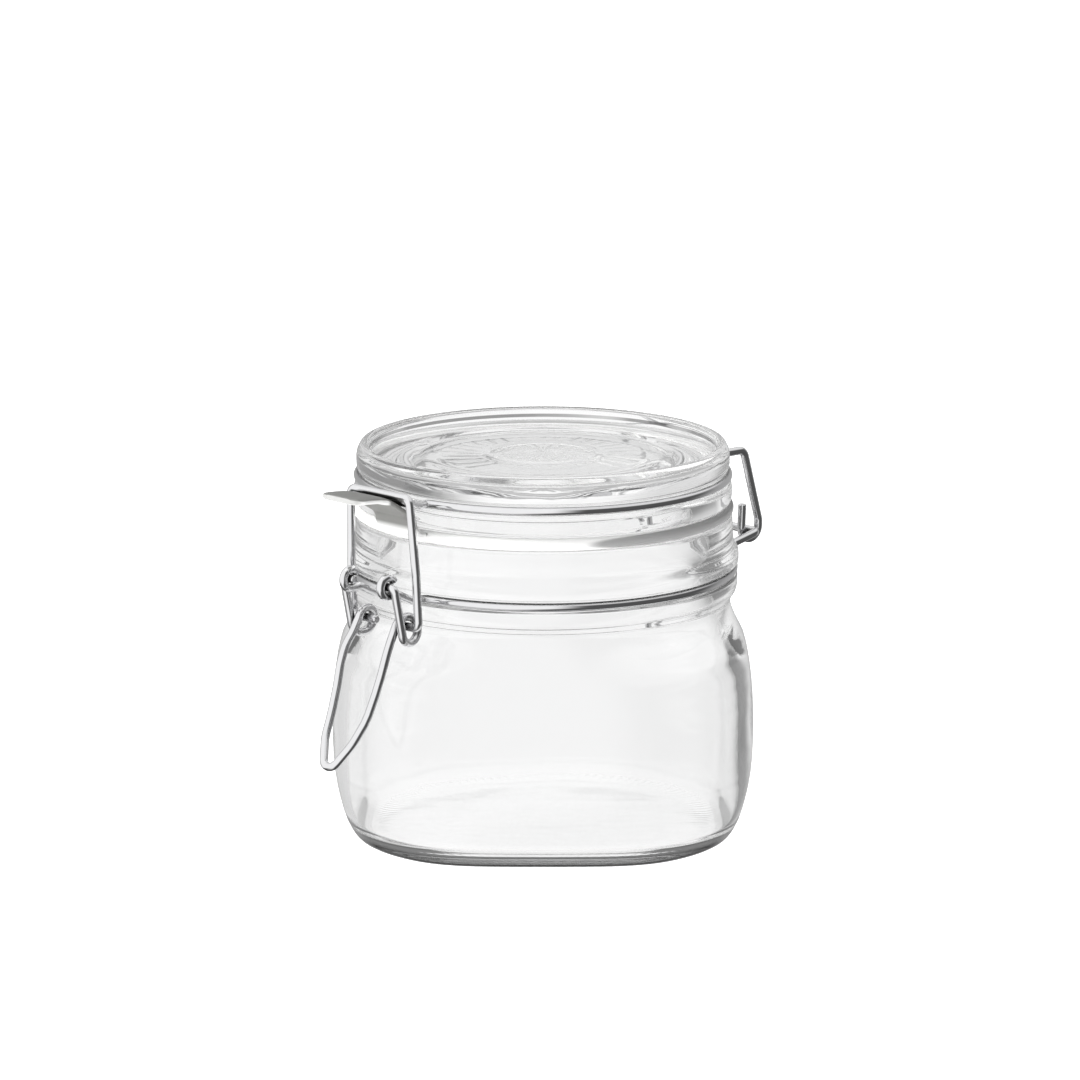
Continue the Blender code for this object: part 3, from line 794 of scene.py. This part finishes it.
def build_world():
    """A studio that turns with the camera, so that glass and wire are lit alike from every side.

    The eye sees plain white.  Through glass, the studio is white behind the jar and
    above it, grey at its sides and dark behind the camera.  In a mirror it is bright
    on the left and overhead, dark on the right and where the table would be.  Matt
    surfaces are lit from the left and from below, as by a bright table.
    """
    world = bpy.data.worlds.new("studio")
    bpy.context.scene.world = world
    world.use_nodes = True
    world.cycles.sampling_method = "NONE"
    nodes = Nodes(world.node_tree)
    maths = nodes.maths
    direction = nodes.add("ShaderNodeTexCoord").outputs["Generated"]
    across, up, forward = nodes.to_camera(direction, "VECTOR")
    rays = nodes.add("ShaderNodeLightPath").outputs

    def ramp(value, start, end, low, high):
        return nodes.ramp(value, start, end, low, high, "SMOOTHSTEP")

    def mix(share, low, high):
        node = nodes.add("ShaderNodeMix", {"data_type": "FLOAT"}, in0=share, in2=low, in3=high)
        return node.outputs[0]

    # What glass lets through.
    backdrop = ramp(maths("ABSOLUTE", across), 0.16, 0.5, 1.0, 0.0)
    left_through = ramp(across, -0.97, -0.75, 0.25, 0.75)
    sides_through = mix(ramp(across, -0.2, 0.2, 0.0, 1.0), left_through, 0.24)
    upward = ramp(maths("ABSOLUTE", up), 0.15, 0.55, 0.0, 0.9)
    through = maths("MAXIMUM", mix(backdrop, sides_through, 1.0), upward)
    through = maths("MULTIPLY", through, ramp(forward, -0.6, 0.05, 0.12, 1.0))

    # What glass and wire mirror.  The dark side is wider on what faces down.
    lean = ramp(up, -0.9, -0.45, 0.4, 0.0)
    sides_mirrored = ramp(maths("ADD", across, lean), 0.05, 0.45, 1.1, 0.1)
    mirrored_light = mix(ramp(forward, 0.2, 0.75, 0.0, 1.0), sides_mirrored, 0.42)
    mirrored_light = maths("MAXIMUM", mirrored_light, ramp(up, 0.3, 0.7, 0.0, 0.9))
    table = maths("MULTIPLY", ramp(forward, -0.5, 0.3, 0.0, 1.0), ramp(up, -0.5, -0.28, 1.0, 0.0))
    mirrored_light = mix(table, mirrored_light, 0.08)
    late = ramp(rays["Ray Depth"], 1.5, 3.5, 0.0, 0.55)
    mirrored_light = maths("MAXIMUM", mirrored_light, late)

    # What lights matt surfaces.
    key = maths("ADD", maths("MULTIPLY", across, -1.1), maths("MULTIPLY", forward, -0.1))
    key = maths("SUBTRACT", key, maths("MULTIPLY", up, 0.3))
    soft = ramp(key, -0.4, 0.6, 0.15, 2.1)

    level = mix(rays["Is Transmission Ray"], mirrored_light, through)
    level = mix(rays["Is Diffuse Ray"], level, soft)
    level = mix(rays["Is Camera Ray"], level, 1.0)
    back = world.node_tree.nodes["Background"]
    nodes.feed(level, back.inputs["Color"])
    nodes.feed(1.0, back.inputs["Strength"])


def build_sun():
    """A weak wide sun from the front left, for matt surfaces."""
    data = bpy.data.lights.new("key", "SUN")
    data.energy = 0.4
    data.angle = math.radians(25)
    sun = bpy.data.objects.new("key", data)
    bpy.context.scene.collection.objects.link(sun)
    sun.rotation_euler = Vector((-0.7, -0.5, 0.5)).to_track_quat("Z", "Y").to_euler()
    sun.visible_glossy = False
    sun.visible_transmission = False


def build_camera():
    data = bpy.data.cameras.new("camera")
    data.sensor_width = 36
    data.lens = 200
    data.clip_end = 100
    camera = bpy.data.objects.new("camera", data)
    bpy.context.scene.collection.objects.link(camera)
    camera.location = CAMERA_PLACE
    camera.rotation_euler = (CAMERA_AIM - CAMERA_PLACE).to_track_quat("-Z", "Y").to_euler()
    bpy.context.scene.camera = camera


def build_studio():
    build_floor()
    build_world()
    build_sun()
    build_camera()
    scene = bpy.context.scene
    scene.view_settings.view_transform = "Standard"
    scene.cycles.max_bounces = 24
    scene.cycles.transmission_bounces = 24
    scene.cycles.glossy_bounces = 24
    scene.cycles.transparent_max_bounces = 16


build_jar()
build_lid()
build_gasket()
build_wires()
build_studio()
